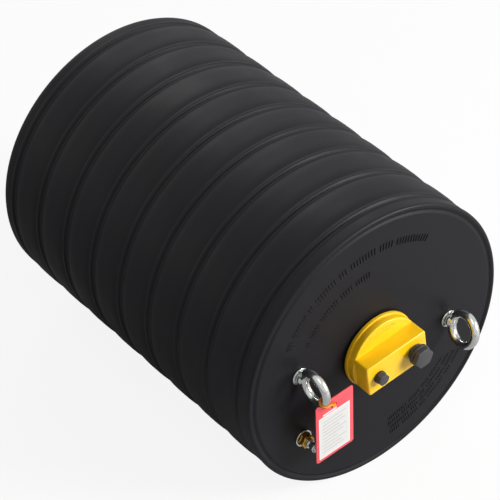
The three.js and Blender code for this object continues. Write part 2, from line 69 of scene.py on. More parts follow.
def place(right, height, up):
    """A point in metres, from millimetres right of the axis, out of the front face and above the axis."""
    return Vector((right, FACE_Y - height, AXIS_Z + up)) * MM


def on_circle(radius, angle):
    """Right and up of a point on a circle round the axis, anticlockwise from the right as seen in front."""
    return radius * cos(angle), radius * sin(angle)


# %% [markdown]
# ## Camera
#
# The photograph was taken from above and from the left of the front face, with a long lens.
# The camera stands at the same place, so that later each piece can be set against the photograph.

# %% Camera
CAMERA_PLACE = Vector((-1.2728, -1.6101, 1.8180))
CAMERA_LOOK = Vector((0.4826, 0.6130, -0.6255))
CAMERA_LENS = 167.0

bpy.ops.object.camera_add(location=CAMERA_PLACE, rotation=CAMERA_LOOK.to_track_quat("-Z", "Y").to_euler())
camera = bpy.context.object
camera.data.lens = CAMERA_LENS
bpy.context.scene.camera = camera

# %% [markdown]
# ## Helpers for modelling
#
# Most pieces of this plug are round, so most are made on a lathe: half of the section is drawn point
# by point, its corners are rounded, and it is spun round the axis. The rest are cut from blocks.
# Edit mode works on what is selected, so one helper picks vertices, edges or faces by their place.


# %% Modelling helpers
def choose(kind, test):
    """In edit mode, selects each vertex, edge or face of the active piece that passes a test."""
    bpy.ops.mesh.select_mode(type=kind)
    bpy.ops.mesh.select_all(action="DESELECT")
    mesh = bmesh.from_edit_mesh(bpy.context.object.data)
    parts = {"VERT": mesh.verts, "EDGE": mesh.edges, "FACE": mesh.faces}[kind]
    for part in parts:
        if test(part):
            part.select_set(True)
    bmesh.update_edit_mesh(bpy.context.object.data)


def close_doubles():
    """Merges the points that lie on each other and turns all faces outwards."""
    bpy.ops.mesh.select_all(action="SELECT")
    bpy.ops.mesh.remove_doubles(threshold=0.001 * MM)
    bpy.ops.mesh.normals_make_consistent(inside=False)


def turned(name, profile, axis=(0, 0), sides=96, closed=True):
    """A round piece. Its half-section is a chain of (radius, height) or (radius, height, rounding)."""
    points = [place(axis[0] + corner[0], corner[1], axis[1]) for corner in profile]
    chain = points + points[:1] if closed else points
    bpy.ops.object.select_all(action="DESELECT")
    bpy.ops.mesh.primitive_plane_add(size=MM, location=points[0])
    piece = bpy.context.object
    piece.name = name
    bpy.ops.object.mode_set(mode="EDIT")
    bpy.ops.mesh.select_all(action="SELECT")
    bpy.ops.mesh.merge(type="CENTER")
    for here, there in zip(chain, chain[1:]):
        bpy.ops.mesh.extrude_region_move(TRANSFORM_OT_translate={"value": there - here})
    close_doubles()
    for rounding in sorted({corner[2] for corner in profile if len(corner) > 2}):
        corners = [p - points[0] for p, corner in zip(points, profile) if corner[2:] == (rounding,)]
        choose("VERT", lambda vertex: any((vertex.co - c).length < 0.01 * MM for c in corners))
        bpy.ops.mesh.bevel(offset=rounding * MM, segments=4, affect="VERTICES")
    bpy.ops.mesh.select_all(action="SELECT")
    centre = place(axis[0], 0, axis[1])
    bpy.ops.mesh.spin(steps=sides, angle=tau, center=centre, axis=(0, 1, 0))
    close_doubles()
    bpy.ops.object.mode_set(mode="OBJECT")
    return piece


def combine(piece, tool, operation):
    """Joins a piece with a second one, cuts it, or keeps what both fill. The second one is used up."""
    bpy.ops.object.select_all(action="DESELECT")
    bpy.context.view_layer.objects.active = piece
    bpy.ops.object.modifier_add(type="BOOLEAN")
    modifier = piece.modifiers[-1]
    modifier.operation = operation
    modifier.object = tool
    modifier.solver = "EXACT"
    bpy.ops.object.modifier_apply(modifier=modifier.name)
    bpy.data.objects.remove(tool)
    return piece


def join(name, pieces):
    """Several pieces as one object."""
    bpy.ops.object.select_all(action="DESELECT")
    for piece in pieces:
        piece.select_set(True)
    bpy.context.view_layer.objects.active = pieces[0]
    if len(pieces) > 1:
        bpy.ops.object.join()
    pieces[0].name = name
    return pieces[0]


def rounded(piece, width, angle=35, segments=3):
    """Rounds every edge that turns by more than an angle."""
    bpy.ops.object.select_all(action="DESELECT")
    bpy.context.view_layer.objects.active = piece
    bpy.ops.object.modifier_add(type="BEVEL")
    modifier = piece.modifiers[-1]
    modifier.width = width * MM
    modifier.segments = segments
    modifier.limit_method = "ANGLE"
    modifier.angle_limit = radians(angle)
    bpy.ops.object.modifier_apply(modifier=modifier.name)
    return piece


def finished(piece, slot, material, *nodes, smooth=35):
    """Fixes a piece in its place, gives it its finish and lets it stand for its nodes."""
    bpy.ops.object.select_all(action="DESELECT")
    piece.select_set(True)
    bpy.context.view_layer.objects.active = piece
    bpy.ops.object.transform_apply(location=True, rotation=True, scale=True)
    bpy.ops.object.shade_smooth_by_angle(angle=radians(smooth))
    if material:
        piece.data.materials.clear()
        piece.data.materials.append(material)
    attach(piece, "root")
    if nodes:
        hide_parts(*nodes)
    print(piece.name, "has", sum(len(face.vertices) - 2 for face in piece.data.polygons), "triangles")
    return piece


# %% [markdown]
# ## Helpers for finishes
#
# A colour picked from a screen is an sRGB value, and a shader wants it linear, so one function turns
# it. A second one adds a node with its settings and its links. Patterns are given by the real size of
# one grain, because a noise texture wants the number of grains in a metre.


# %% Material helpers
def linear(hex_colour):
    """A colour such as #f6c915 as the linear values that a shader takes."""
    parts = [int(hex_colour[digit : digit + 2], 16) / 255 for digit in (1, 3, 5)]
    return [part / 12.92 if part <= 0.04045 else ((part + 0.055) / 1.055) ** 2.4 for part in parts] + [1]


def add(tree, kind, settings=(), values=(), links=()):
    """Adds a node, sets its own settings and its sockets' values, and links its sockets."""
    node = tree.nodes.new("ShaderNode" + kind)
    for name, value in dict(settings).items():
        setattr(node, name, value)
    for socket, value in dict(values).items():
        node.inputs[socket].default_value = value
    for socket, source in dict(links).items():
        tree.links.new(source, node.inputs[socket])
    return node


def grains(millimetres):
    """The scale of a noise whose grains have this size."""
    return 1 / (millimetres * MM)


def started(name, values):
    """A new material with its shader's constants set. Returns it with its tree, shader and coordinates."""
    made = bpy.data.materials.new(name)
    made.use_nodes = True
    tree = made.node_tree
    shader = tree.nodes["Principled BSDF"]
    for socket, value in values.items():
        shader.inputs[socket].default_value = value
    where = add(tree, "TexCoord").outputs["Object"]
    return made, tree, shader, where


COLOUR_MIX = {"data_type": "RGBA"}
MIX_FACTOR, MIX_A, MIX_B, MIX_RESULT = 0, 6, 7, 2

# %% [markdown]
# ### Black rubber
#
# The bladder is moulded natural rubber. Fresh from the mould it is a satin near-black with a faint
# cold tint. The skin has a fine grain of under a millimetre, and the thick wall is never quite even,
# which shows as slow waves in the reflection. A thin bloom of dust greys it in patches.

# %% Rubber
rubber, tree, shader, where = started("moulded_rubber", {"IOR": 1.5, "Specular IOR Level": 0.2})
patches = add(tree, "TexNoise", values={"Scale": grains(60), "Detail": 4}, links={"Vector": where})
grain = add(tree, "TexNoise", values={"Scale": grains(1.1), "Detail": 3}, links={"Vector": where})
waves = add(tree, "TexNoise", values={"Scale": grains(38), "Detail": 2}, links={"Vector": where})
tint = add(
    tree,
    "Mix",
    COLOUR_MIX,
    {MIX_A: linear("#0e0d11"), MIX_B: linear("#1a191d")},
    {MIX_FACTOR: patches.outputs["Fac"]},
)
sheen = add(
    tree,
    "MapRange",
    values={"From Min": 0.3, "From Max": 0.7, "To Min": 0.42, "To Max": 0.56},
    links={"Value": patches.outputs["Fac"]},
)
wavy = add(
    tree, "Bump", values={"Strength": 0.35, "Distance": 0.8 * MM}, links={"Height": waves.outputs["Fac"]}
)
skin = add(
    tree,
    "Bump",
    values={"Strength": 0.3, "Distance": 0.08 * MM},
    links={"Height": grain.outputs["Fac"], "Normal": wavy.outputs["Normal"]},
)
tree.links.new(tint.outputs[MIX_RESULT], shader.inputs["Base Color"])
tree.links.new(sheen.outputs["Result"], shader.inputs["Roughness"])
tree.links.new(skin.outputs["Normal"], shader.inputs["Normal"])

# %% Rubber of the seals and of the inner hose
seal_rubber, tree, shader, where = started("seal_rubber", {"IOR": 1.52})
grain = add(tree, "TexNoise", values={"Scale": grains(0.8), "Detail": 3}, links={"Vector": where})
dust = add(tree, "TexNoise", values={"Scale": grains(12), "Detail": 4}, links={"Vector": where})
tint = add(
    tree,
    "Mix",
    COLOUR_MIX,
    {MIX_A: linear("#161617"), MIX_B: linear("#222224")},
    {MIX_FACTOR: dust.outputs["Fac"]},
)
sheen = add(tree, "MapRange", values={"To Min": 0.6, "To Max": 0.8}, links={"Value": dust.outputs["Fac"]})
skin = add(
    tree,
    "Bump",
    values={"Strength": 0.3, "Distance": 0.05 * MM},
    links={"Height": grain.outputs["Fac"]},
)
tree.links.new(tint.outputs[MIX_RESULT], shader.inputs["Base Color"])
tree.links.new(sheen.outputs["Result"], shader.inputs["Roughness"])
tree.links.new(skin.outputs["Normal"], shader.inputs["Normal"])

# %% [markdown]
# ### Yellow nylon
#
# The head is injection-moulded nylon in a strong warm yellow, glossy where the mould was polished.
# Up close the gloss is broken by a shallow ripple, like orange peel, and a little light goes into it.

# %% Yellow nylon
yellow, tree, shader, where = started(
    "yellow_nylon",
    {
        "IOR": 1.53,
        "Subsurface Weight": 0.05,
        "Subsurface Radius": (0.9, 0.5, 0.1),
        "Subsurface Scale": 2 * MM,
        "Coat Weight": 0.15,
        "Coat Roughness": 0.2,
    },
)
cloud = add(tree, "TexNoise", values={"Scale": grains(18), "Detail": 3}, links={"Vector": where})
peel = add(tree, "TexNoise", values={"Scale": grains(1.6), "Detail": 2}, links={"Vector": where})
tint = add(
    tree,
    "Mix",
    COLOUR_MIX,
    {MIX_A: linear("#fbc405"), MIX_B: linear("#fecd0b")},
    {MIX_FACTOR: cloud.outputs["Fac"]},
)
sheen = add(tree, "MapRange", values={"To Min": 0.3, "To Max": 0.44}, links={"Value": cloud.outputs["Fac"]})
skin = add(
    tree,
    "Bump",
    values={"Strength": 0.25, "Distance": 0.06 * MM},
    links={"Height": peel.outputs["Fac"]},
)
tree.links.new(tint.outputs[MIX_RESULT], shader.inputs["Base Color"])
tree.links.new(sheen.outputs["Result"], shader.inputs["Roughness"])
tree.links.new(skin.outputs["Normal"], shader.inputs["Normal"])

# %% [markdown]
# ### Black plastic
#
# The two screw plugs are black glass-filled nylon. The glass fibres leave a fine matt grain.

# %% Black plastic
black_plastic, tree, shader, where = started("black_glass_filled_nylon", {"IOR": 1.53})
grain = add(tree, "TexNoise", values={"Scale": grains(0.5), "Detail": 3}, links={"Vector": where})
tint = add(
    tree,
    "Mix",
    COLOUR_MIX,
    {MIX_A: linear("#333335"), MIX_B: linear("#444446")},
    {MIX_FACTOR: grain.outputs["Fac"]},
)
sheen = add(tree, "MapRange", values={"To Min": 0.4, "To Max": 0.55}, links={"Value": grain.outputs["Fac"]})
skin = add(
    tree,
    "Bump",
    values={"Strength": 0.35, "Distance": 0.05 * MM},
    links={"Height": grain.outputs["Fac"]},
)
tree.links.new(tint.outputs[MIX_RESULT], shader.inputs["Base Color"])
tree.links.new(sheen.outputs["Result"], shader.inputs["Roughness"])
tree.links.new(skin.outputs["Normal"], shader.inputs["Normal"])

# %% [markdown]
# ### Zinc-plated steel
#
# The eye bolts are forged and then zinc-plated: a bright metal with a faint cold colour. The forging
# leaves it slightly uneven, and the plating has cloudy patches that are a little rougher.

# %% Zinc-plated steel
zinc, tree, shader, where = started("zinc_plated_steel", {"Metallic": 1.0})
cloud = add(tree, "TexNoise", values={"Scale": grains(7), "Detail": 4}, links={"Vector": where})
dents = add(tree, "TexNoise", values={"Scale": grains(4), "Detail": 1}, links={"Vector": where})
tint = add(
    tree,
    "Mix",
    COLOUR_MIX,
    {MIX_A: linear("#c3c7c6"), MIX_B: linear("#dadcd8")},
    {MIX_FACTOR: cloud.outputs["Fac"]},
)
sheen = add(tree, "MapRange", values={"To Min": 0.12, "To Max": 0.26}, links={"Value": cloud.outputs["Fac"]})
skin = add(
    tree,
    "Bump",
    values={"Strength": 0.08, "Distance": 0.2 * MM},
    links={"Height": dents.outputs["Fac"]},
)
tree.links.new(tint.outputs[MIX_RESULT], shader.inputs["Base Color"])
tree.links.new(sheen.outputs["Result"], shader.inputs["Roughness"])
tree.links.new(skin.outputs["Normal"], shader.inputs["Normal"])

# %% [markdown]
# ### Brass
#
# The valve body is cut from hexagon brass bar. It is bright, with a trace of darker tarnish.

# %% Brass
brass, tree, shader, where = started("turned_brass", {"Metallic": 1.0})
tarnish = add(tree, "TexNoise", values={"Scale": grains(5), "Detail": 5}, links={"Vector": where})
tint = add(
    tree,
    "Mix",
    COLOUR_MIX,
    {MIX_A: linear("#b9852b"), MIX_B: linear("#e0b458")},
    {MIX_FACTOR: tarnish.outputs["Fac"]},
)
sheen = add(tree, "MapRange", values={"To Min": 0.34, "To Max": 0.18}, links={"Value": tarnish.outputs["Fac"]})
tree.links.new(tint.outputs[MIX_RESULT], shader.inputs["Base Color"])
tree.links.new(sheen.outputs["Result"], shader.inputs["Roughness"])

# %% [markdown]
# ### Printed card and cable tie
#
# The hang tag is a red vinyl card with a pale printed panel. What is printed on the real one isn't
# repeated: plain bars stand in its place. The tie is orange nylon.


# %% Card, print and tie
def plain(name, low, high, grain_size, roughness):
    """A plastic of one colour that varies a little, with a fine grain."""
    made, tree, shader, where = started(name, {"IOR": 1.5})
    grain = add(
        tree, "TexNoise", values={"Scale": grains(grain_size), "Detail": 3}, links={"Vector": where}
    )
    tint = add(
        tree,
        "Mix",
        COLOUR_MIX,
        {MIX_A: linear(low), MIX_B: linear(high)},
        {MIX_FACTOR: grain.outputs["Fac"]},
    )
    sheen = add(
        tree,
        "MapRange",
        values={"To Min": roughness - 0.07, "To Max": roughness + 0.07},
        links={"Value": grain.outputs["Fac"]},
    )
    skin = add(
        tree, "Bump", values={"Strength": 0.2, "Distance": 0.04 * MM}, links={"Height": grain.outputs["Fac"]}
    )
    tree.links.new(tint.outputs[MIX_RESULT], shader.inputs["Base Color"])
    tree.links.new(sheen.outputs["Result"], shader.inputs["Roughness"])
    tree.links.new(skin.outputs["Normal"], shader.inputs["Normal"])
    return made


red_card = plain("red_vinyl_card", "#ee4a56", "#f75c66", 3, 0.42)
white_print = plain("white_print", "#efe6e6", "#f7f1f0", 3, 0.45)
panel_print = plain("panel_print", "#d3d2cf", "#dedddb", 4, 0.5)
grey_print = plain("grey_print", "#bebcb9", "#c6c4c1", 2, 0.5)
orange_nylon = plain("orange_nylon", "#ee8420", "#f6952c", 2, 0.4)

# %% [markdown]
# ## Rubber body
#
# The body is one hollow moulding, 350 mm across, with ten slightly convex bands between nine narrow
# grooves, each with a soft lip on either side. The half-section is drawn from the front bore, over
# the bands, round the rear edge and back along the inside. The rubber that lies on the floor is
# pressed flat: what hangs below the floor is scaled to its height. Last, the bores for the eye bolts
# and the valve are cut.

# %% Half-section of the body
GROOVES = 9
GROOVE_PITCH = 52.3
GROOVE_DEPTH = 2.4
BAND_CROWN = 1.8
SHOULDER = BODY_RADIUS - BAND_CROWN
FRONT_EDGE = 3.5
REAR_EDGE = 9
WALL = 12
END_WALL = 20
INNER_ROUND = 14
NECK_BORE = 24.3
RIM_GROOVE = 167
RIM_GROOVE_HALF = 3.3
RIM_GROOVE_DEPTH = 2
LIP_RISE = 1.1
LIP_OUT = 3
LIP_FOOT = 6
BAND_STEPS = 14

first_groove = (BODY_LENGTH - (GROOVES - 1) * GROOVE_PITCH) / 2
grooves = [first_groove + step * GROOVE_PITCH for step in range(GROOVES)]


def band(front, rear):
    """Points of the convex band between two lips, at depths behind the front face."""
    middle = (front + rear) / 2
    reach = (rear - front) / 2
    depths = [front + (rear - front) * step / BAND_STEPS for step in range(1, BAND_STEPS)]
    return [(SHOULDER + BAND_CROWN * (1 - ((depth - middle) / reach) ** 4), -depth) for depth in depths]


def groove(depth):
    """The narrow groove between two bands, with a soft raised lip on either side."""
    return [
        (SHOULDER, LIP_FOOT - depth, 1.5),
        (SHOULDER + LIP_RISE, LIP_OUT - depth, 1.3),
        (SHOULDER - GROOVE_DEPTH, -depth, 0.6),
        (SHOULDER + LIP_RISE, -LIP_OUT - depth, 1.3),
        (SHOULDER, -LIP_FOOT - depth, 1.5),
    ]


side = []
for number, depth in enumerate(grooves):
    side += groove(depth)
    if number < GROOVES - 1:
        side += band(depth + LIP_FOOT, grooves[number + 1] - LIP_FOOT)

rear_inside = END_WALL - BODY_LENGTH
inner_radius = BODY_RADIUS - WALL
section = [
    (NECK_BORE, 0),
    (RIM_GROOVE - RIM_GROOVE_HALF, 0, 0.8),
    (RIM_GROOVE, -RIM_GROOVE_DEPTH, 0.8),
    (RIM_GROOVE + RIM_GROOVE_HALF, 0, 0.8),
    (BODY_RADIUS, 0, FRONT_EDGE),
    *side,
    (BODY_RADIUS, -BODY_LENGTH, REAR_EDGE),
    (NECK_BORE, -BODY_LENGTH),
    (NECK_BORE, rear_inside),
    (inner_radius, rear_inside, INNER_ROUND),
    (inner_radius, -END_WALL, INNER_ROUND),
    (NECK_BORE, -END_WALL),
]
print("The half-section of the body has", len(section), "points")

# %% The body
BODY_STEPS = 192
EYE_CIRCLE = 107
EYE_LINE_TURN = radians(-8.4)
WASHER_BORE = 5.3
WASHER_RADIUS = 10.5
EYES = {"left": (EYE_LINE_TURN + pi, radians(5)), "right": (EYE_LINE_TURN, radians(-12))}
VALVE_PLACE = on_circle(125.9, radians(-142.3))
INSERT_BORE = 9.3
VALVE_BORE = 5.3

body = turned("rubber_body", section, sides=BODY_STEPS)
bpy.context.view_layer.objects.active = body
bpy.ops.object.transform_apply(location=True, rotation=True, scale=True)
bpy.ops.object.mode_set(mode="EDIT")
choose("VERT", lambda vertex: vertex.co.z < 0)
bpy.ops.transform.resize(value=(1, 1, 0), center_override=(0, 0, 0))
bpy.ops.object.mode_set(mode="OBJECT")


def bore(radius, axis):
    """A rod that cuts a hole through the front wall."""
    rod = [(0, 5), (radius, 5), (radius, -END_WALL - 5), (0, -END_WALL - 5)]
    return turned("bore", rod, axis, sides=48, closed=False)


for angle, _ in EYES.values():
    combine(body, bore(INSERT_BORE, on_circle(EYE_CIRCLE, angle)), "DIFFERENCE")
combine(body, bore(VALVE_BORE, VALVE_PLACE), "DIFFERENCE")
finished(body, "rubber", rubber, "bladder")

# %% [markdown]
# ## Raised marks on the rubber
#
# The mould leaves rows of raised marks on the front face. They are plain here: small upright bars, in
# groups, along the same arcs. One bar is modelled for a row, and its copies are turned about the axis.


# %% Raised bars on arcs
def row_of_bars(radius, size, low, high, start, groups, pitch):
    """Upright bars on an arc, from an angle in degrees and clockwise. Groups are numbers of bars."""
    thickness, height = size
    right, up = on_circle(radius, radians(start))
    bpy.ops.object.select_all(action="DESELECT")
    bpy.ops.mesh.primitive_cube_add(
        size=1, location=place(right, (low + high) / 2, up), rotation=(0, -radians(start), 0)
    )
    first = bpy.context.object
    first.scale = Vector((height, high - low, thickness)) * MM
    bpy.ops.object.transform_apply(location=False, rotation=False, scale=True)
    rounded(first, 0.25 * min(thickness, 2 * (high - low)), segments=2)
    bpy.context.view_layer.update()
    centre = Matrix.Translation(place(0, 0, 0))
    bars = [first]
    step = 0
    for group in groups:
        for _ in range(group):
            if step:
                bar = first.copy()
                bar.data = first.data.copy()
                bpy.context.collection.objects.link(bar)
                turn = Matrix.Rotation(radians(step * pitch), 4, "Y")
                bar.matrix_world = centre @ turn @ centre.inverted() @ first.matrix_world
                bars.append(bar)
            step += 1
        step += 1
    return bars


MARK_RISE = 0.9
MARK_SINK = 0.2
rows = [
    (134, (1.6, 8.5), 154, (3, 7, 2, 8, 3, 9, 5, 12), 1.7),
    (107, (1.5, 7.5), 152, (2, 5, 8, 5, 6), 1.9),
    (146, (1.1, 4.2), -30, (6, 4, 9, 3, 8, 5), 1.25),
    (138.5, (1.1, 4.2), -31, (7, 5, 8, 4, 9), 1.3),
    (131, (1.1, 4.2), -33, (5, 9, 3, 8, 6), 1.35),
    (123.5, (1.1, 4.2), -36, (8, 4, 6, 9), 1.45),
]
marks = []
for radius, size, start, groups, pitch in rows:
    marks += row_of_bars(radius, size, -MARK_SINK, MARK_RISE, start, groups, pitch)
finished(join("face_marks", marks), "rubber", rubber)

# %% [markdown]
# ## Yellow head
#
# The head is one moulding: a flange and a disc that are turned, a cross bar, and a tapered boss round
# the large port. The bar starts as a block whose edges are bevelled, and is joined to the disc as a
# solid. After that come the two bores and the boss, but they stay empty: the bevel leaves edge
# selection on, and the lathe then can't extrude its first point. So the ports aren't drilled and the
# boss is missing in this model. The solids have both.

# %% Head
FLANGE_BASE = 2.6
DISC_BASE = 8.7
DISC_TOP = 16.2
BAR_SIZE = (83, 40)
BAR_TOP = 36.2
BAR_CORNER = 3
BAR_EDGE = 1.6
BOSS_TOP = 41.2
PORT_TOP = 50
LARGE_BORE = 10.2
SMALL_BORE = 4.8
PLUG_SEAL = 1.5
LARGE_PORT = 25
SMALL_PORT = -26
SPIGOT_END = -76.6
NECK_END = -40.6


def on_head(along):
    """Right and up of a point on the bar's middle line, which leans with the head."""
    return on_circle(along, HEAD_TURN)


head_profile = [
    (0, 10),
    (9.5, 10),
    (9.5, SPIGOT_END),
    (13, SPIGOT_END, 0.8),
    (13, NECK_END),
    (24, NECK_END, 0.8),
    (24, FLANGE_BASE),
    (46, FLANGE_BASE, 0.7),
    (46, 7.1, 0.9),
    (43.5, 7.1, 0.4),
    (43.5, DISC_BASE, 0.4),
    (45, DISC_BASE, 0.6),
    (45, DISC_TOP, 1.4),
    (0, DISC_TOP),
]
head = turned("yellow_head", head_profile, sides=128, closed=False)

bar_base = DISC_TOP - 4
bpy.ops.object.select_all(action="DESELECT")
bpy.ops.mesh.primitive_cube_add(
    size=1, location=place(0, (bar_base + BAR_TOP) / 2, 0), rotation=(0, -HEAD_TURN, 0)
)
bar = bpy.context.object
bar.scale = Vector((BAR_SIZE[0], BAR_TOP - bar_base, BAR_SIZE[1])) * MM
bpy.ops.object.transform_apply(location=False, rotation=False, scale=True)
bpy.ops.object.mode_set(mode="EDIT")
choose("EDGE", lambda edge: abs(edge.verts[0].co.y - edge.verts[1].co.y) > MM)
bpy.ops.mesh.bevel(offset=BAR_CORNER * MM, segments=5, affect="EDGES")
front = -(BAR_TOP - bar_base) / 2 * MM
choose("EDGE", lambda edge: all(abs(vertex.co.y - front) < 0.01 * MM for vertex in edge.verts))
bpy.ops.mesh.bevel(offset=BAR_EDGE * MM, segments=4, affect="EDGES")
bpy.ops.object.mode_set(mode="OBJECT")
combine(head, bar, "UNION")

large_bore = [(0, 10), (LARGE_BORE, 10), (LARGE_BORE, PORT_TOP), (0, PORT_TOP)]
small_bore = [(0, 10), (SMALL_BORE, 10), (SMALL_BORE, PORT_TOP), (0, PORT_TOP)]
combine(head, turned("large_bore", large_bore, on_head(LARGE_PORT), closed=False), "DIFFERENCE")
combine(head, turned("small_bore", small_bore, on_head(SMALL_PORT), closed=False), "DIFFERENCE")
boss_profile = [
    (LARGE_BORE, BAR_TOP - 0.5),
    (18, BAR_TOP - 0.5),
    (18, BAR_TOP + 1.7, 0.8),
    (15.5, BOSS_TOP, 0.9),
    (LARGE_BORE, BOSS_TOP, 0.4),
]
boss = turned("boss", boss_profile, on_head(LARGE_PORT))
finished(join("yellow_head", [head, boss]), "yellow_plastic", yellow, "head_body")

# %% Raised bars on the disc
head_rows = [(38.8, (0.9, 2.4), 150, (5, 8, 3, 7, 4), 2.6), (34.4, (0.8, 2.0), 138, (6, 4, 8), 3.0)]
head_marks = []
for radius, size, start, groups, pitch in head_rows:
    head_marks += row_of_bars(radius, size, DISC_TOP - 0.2, DISC_TOP + 0.35, start, groups, pitch)
finished(join("head_marks", head_marks), "yellow_plastic", yellow)

# %% [markdown]
# ## Screw plugs of the head
#
# Each port is closed by a screw plug: a hexagon on a round collar, over a flat seal. The hexagon is a
# six-sided rod. Its chamfer is cut as on a lathe, by keeping only what also lies inside a cone.


# %% Screw plugs
def hexagon(name, axis, flats, low, high, chamfer, turn=0.0):
    """A hexagon rod with the outer chamfer of a nut."""
    corner = flats / 2 / cos(pi / 6)
    bpy.ops.object.select_all(action="DESELECT")
    bpy.ops.mesh.primitive_cylinder_add(
        vertices=6,
        radius=corner * MM,
        depth=(high - low) * MM,
        location=place(axis[0], (low + high) / 2, axis[1]),
        rotation=(pi / 2, pi / 2 - turn, 0),
    )
    piece = bpy.context.object
    piece.name = name
    bpy.ops.object.transform_apply(location=True, rotation=True, scale=True)
    reach = corner + 1
    cone = [
        (0, low - 1),
        (reach, low - 1),
        (reach, high - chamfer - 0.4),
        (flats / 2 * 0.95, high),
        (0, high),
    ]
    return combine(piece, turned("cone", cone, axis, closed=False), "INTERSECT")


def screw_plug(name, along, seat, flats, collar, height, shank, node):
    """A screw plug with its collar on the seal and its shank in the port."""
    axis = on_head(along)
    base = seat + FIT + PLUG_SEAL + FIT
    corner = flats / 2 / cos(pi / 6)
    body = [
        (0, seat - 11),
        (shank, seat - 11, 0.5),
        (shank, base),
        (corner, base, 0.3),
        (corner, base + collar, 0.3),
        (0, base + collar),
    ]
    stem = turned(name, body, axis, closed=False)
    hexagonal = hexagon("hexagon", axis, flats, base + collar - 0.5, base + collar + height, 0.6, HEAD_TURN)
    rounded(hexagonal, 0.25, angle=25, segments=2)
    return finished(join(name, [stem, hexagonal]), "black_plastic", black_plastic, node)


screw_plug("large_screw_plug", LARGE_PORT, BOSS_TOP, 22, 2, 6.5, 9.9, "large_port_plug")
screw_plug("small_screw_plug", SMALL_PORT, BAR_TOP, 13, 1, 5.5, 4.5, "small_port_plug")

# %% [markdown]
# ## Lifting eyes
#
# Each eye bolt is forged in one piece: a ring of 10 mm round bar that runs into a collar, and a shank
# in the rubber. A forging has no sharp inner corners. So the ring and the turned foot are laid into
# each other and remeshed to one skin, and smoothing then fills the corner between them.

# %% Lifting eyes
RING_RADIUS = 18
RING_WIRE = 5
EYE_BASE = 2.6
EYE_WASHER_TOP = 2.3
SKIN_GRID = 0.55
RING_CENTRE = EYE_BASE + RING_RADIUS + RING_WIRE
SHANK_END = -22
foot_profile = [
    (0, SHANK_END),
    (5, SHANK_END, 0.6),
    (5, EYE_BASE, 0.4),
    (7.5, EYE_BASE, 0.5),
    (7.5, EYE_BASE + 4, 1.0),
    (6, EYE_BASE + 6, 1.0),
    (5, EYE_BASE + 8.5),
    (0, EYE_BASE + 8.5),
]


def apply_modifier(piece, kind, **settings):
    """Adds one modifier with its settings and applies it."""
    bpy.ops.object.select_all(action="DESELECT")
    bpy.context.view_layer.objects.active = piece
    bpy.ops.object.modifier_add(type=kind)
    modifier = piece.modifiers[-1]
    for name, value in settings.items():
        setattr(modifier, name, value)
    bpy.ops.object.modifier_apply(modifier=modifier.name)


def lifting_eye(side, angle, twist):
    """A forged eye bolt and its washer."""
    axis = on_circle(EYE_CIRCLE, angle)
    bpy.ops.object.select_all(action="DESELECT")
    bpy.ops.mesh.primitive_torus_add(
        major_radius=RING_RADIUS * MM,
        minor_radius=RING_WIRE * MM,
        major_segments=96,
        minor_segments=32,
        location=place(axis[0], RING_CENTRE, axis[1]),
        rotation=(0, pi / 2 - twist, 0),
    )
    ring = bpy.context.object
    foot = turned("foot", foot_profile, axis, sides=64, closed=False)
    eye = join(side + "_eye", [ring, foot])
    apply_modifier(eye, "REMESH", mode="VOXEL", voxel_size=SKIN_GRID * MM)
    apply_modifier(eye, "SMOOTH", factor=0.5, iterations=6)
    finished(eye, "zinc_plate", zinc, side + "_eye_bolt", smooth=80)
    washer_profile = [
        (WASHER_BORE, FIT, 0.3),
        (WASHER_RADIUS, FIT, 0.3),
        (WASHER_RADIUS, EYE_WASHER_TOP, 0.6),
        (WASHER_BORE, EYE_WASHER_TOP, 0.3),
    ]
    washer = turned(side + "_washer", washer_profile, axis)
    finished(washer, "zinc_plate", zinc, side + "_eye_washer")


for side_name, (angle, twist) in EYES.items():
    lifting_eye(side_name, angle, twist)

# %% [markdown]
# ## Inflation valve
#
# Air goes in through a brass hexagon that clamps a bonded seal on the face, and a plated nipple for
# a quick coupling. The seal is a steel ring with a rubber lip inside. All are lathe work, apart from
# the hexagon.

# %% Inflation valve
VALVE_BASE = 2.1
VALVE_TOP = 9.6
valve = hexagon("valve_hexagon", VALVE_PLACE, 15, VALVE_BASE, VALVE_TOP, 0.8)
rounded(valve, 0.2, angle=25, segments=2)
shank_profile = [(0, -31), (5, -31, 0.5), (5, VALVE_BASE + 1), (0, VALVE_BASE + 1)]
shank = turned("shank", shank_profile, VALVE_PLACE, sides=48, closed=False)
finished(join("valve_hexagon", [valve, shank]), "brass", brass, "valve_body")

nipple_base = VALVE_TOP + FIT
nipple_profile = [
    (1.6, nipple_base),
    (5.5, nipple_base, 0.3),
    (5.5, nipple_base + 3.5, 0.5),
    (4, nipple_base + 3.5, 0.3),
    (4, nipple_base + 6.5, 0.3),
    (5.2, nipple_base + 6.5, 0.5),
    (5.2, nipple_base + 12.5, 0.9),
    (3.6, nipple_base + 12.5, 0.3),
    (3.6, nipple_base + 16.5, 0.6),
    (1.6, nipple_base + 16.5, 0.4),
]
nipple = turned("coupling_nipple", nipple_profile, VALVE_PLACE, sides=64)
finished(nipple, "zinc_plate", zinc, "valve_nipple")

LIP_RADIUS = 8.6
SEAL_TOP = 1.8
rim_profile = [
    (LIP_RADIUS, FIT, 0.2),
    (WASHER_RADIUS, FIT, 0.2),
    (WASHER_RADIUS, SEAL_TOP, 0.4),
    (LIP_RADIUS, SEAL_TOP, 0.3),
]
rim = turned("valve_seal", rim_profile, VALVE_PLACE)
rim.data.materials.append(zinc)
lip_profile = [(WASHER_BORE, FIT, 0.2), (LIP_RADIUS, FIT), (LIP_RADIUS, 1.5), (WASHER_BORE, 1.7, 0.3)]
lip = turned("lip", lip_profile, VALVE_PLACE)
lip.data.materials.append(seal_rubber)
finished(join("valve_seal", [rim, lip]), "seal_rubber", None, "valve_washer")

